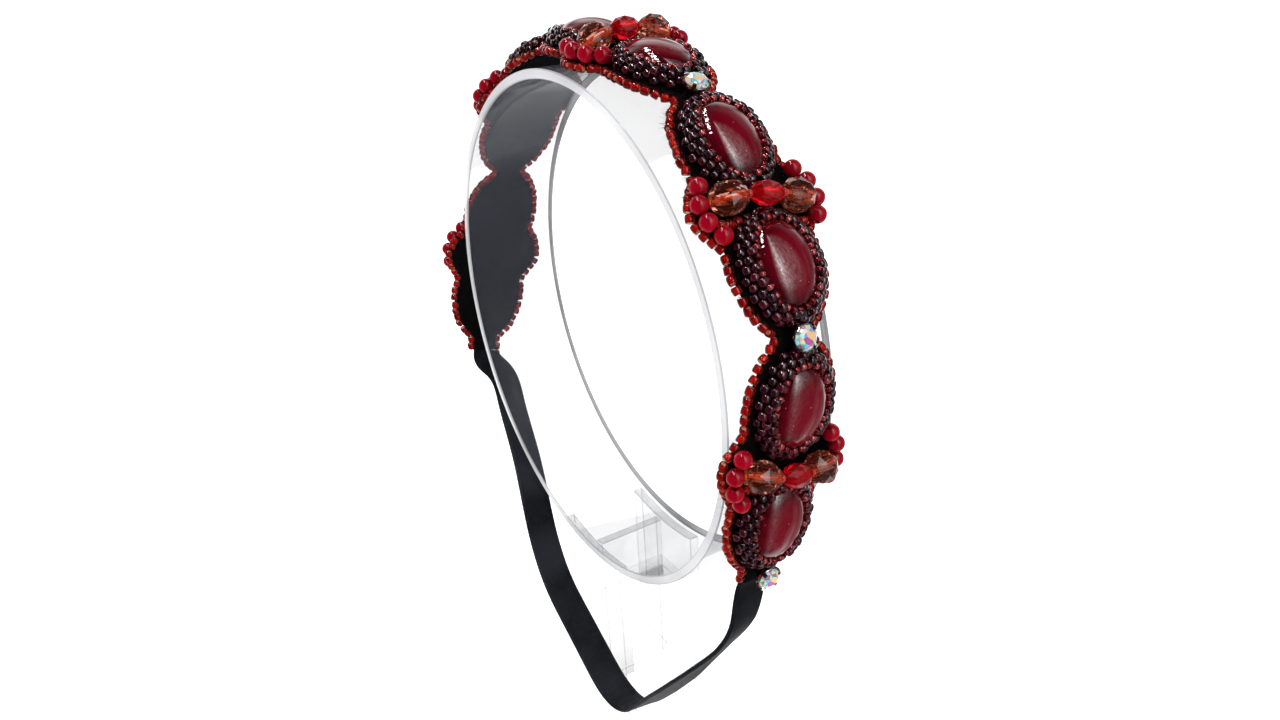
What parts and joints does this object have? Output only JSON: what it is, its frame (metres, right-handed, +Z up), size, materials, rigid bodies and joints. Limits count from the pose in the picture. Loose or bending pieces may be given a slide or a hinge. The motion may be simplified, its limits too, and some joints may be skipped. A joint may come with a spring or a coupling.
{
  "type": "rhinestone headband on clear acrylic display stand",
  "caption": "Scalloped bead-embroidered headband with oval cabochons, faceted beads and rhinestones on an elastic, worn by a clear ring stand.",
  "frame": {"origin": "underside of the stand's base, below the ring's centre", "axes": "+Z up to the headband's crown, Y along the display ring's axis with the strap passing the pedestal on the -Y side, X from the headband's left end to its right end"},
  "size_m": [0.1634, 0.08, 0.211],
  "materials": {
    "felt": "black felt with a black lining",
    "ribbon": "black satin-faced elastic",
    "crimson_glass": "polished dark crimson glass with fine flecks",
    "garnet_seeds": "dark garnet lustre seed beads, a rosy metallic row inside",
    "orange_seeds": "silver-lined orange-red seed beads",
    "coral": "glossy raspberry-red round beads",
    "topaz_glass": "faceted smoky glass with an orange core",
    "red_glass": "faceted transparent red glass",
    "crystal": "iridescent coated crystal in silver claw cups",
    "acrylic": "clear polished acrylic"
  },
  "bodies": {
    "root": {"backing": "felt", "edging_near": "orange_seeds", "edging_far": "orange_seeds", "elastic_strap": "ribbon", "cabochon_01": "crimson_glass", "cabochon_02": "crimson_glass", "cabochon_03": "crimson_glass", "cabochon_04": "crimson_glass", "cabochon_05": "crimson_glass", "cabochon_06": "crimson_glass", "cabochon_07": "crimson_glass", "cabochon_08": "crimson_glass", "cabochon_09": "crimson_glass", "cabochon_10": "crimson_glass", "bezel_01": "garnet_seeds", "bezel_02": "garnet_seeds", "bezel_03": "garnet_seeds", "bezel_04": "garnet_seeds", "bezel_05": "garnet_seeds", "bezel_06": "garnet_seeds", "bezel_07": "garnet_seeds", "bezel_08": "garnet_seeds", "bezel_09": "garnet_seeds", "bezel_10": "garnet_seeds", "rhinestone_1": "crystal", "rhinestone_2": "crystal", "rhinestone_3": "crystal", "rhinestone_4": "crystal", "rhinestone_5": "crystal", "rhinestone_6": "crystal", "red_bead_1": "red_glass", "topaz_bead_1_near": "topaz_glass", "coral_arc_1_near": "coral", "topaz_bead_1_far": "topaz_glass", "coral_arc_1_far": "coral", "red_bead_2": "red_glass", "topaz_bead_2_near": "topaz_glass", "coral_arc_2_near": "coral", "topaz_bead_2_far": "topaz_glass", "coral_arc_2_far": "coral", "red_bead_3": "red_glass", "topaz_bead_3_near": "topaz_glass", "coral_arc_3_near": "coral", "topaz_bead_3_far": "topaz_glass", "coral_arc_3_far": "coral", "red_bead_4": "red_glass", "topaz_bead_4_near": "topaz_glass", "coral_arc_4_near": "coral", "topaz_bead_4_far": "topaz_glass", "coral_arc_4_far": "coral", "red_bead_5": "red_glass", "topaz_bead_5_near": "topaz_glass", "coral_arc_5_near": "coral", "topaz_bead_5_far": "topaz_glass", "coral_arc_5_far": "coral", "stand_ring": "acrylic", "stand_plate_near": "acrylic", "stand_plate_far": "acrylic", "stand_cross_plate": "acrylic", "stand_base": "acrylic"}
  },
  "joints": []
}
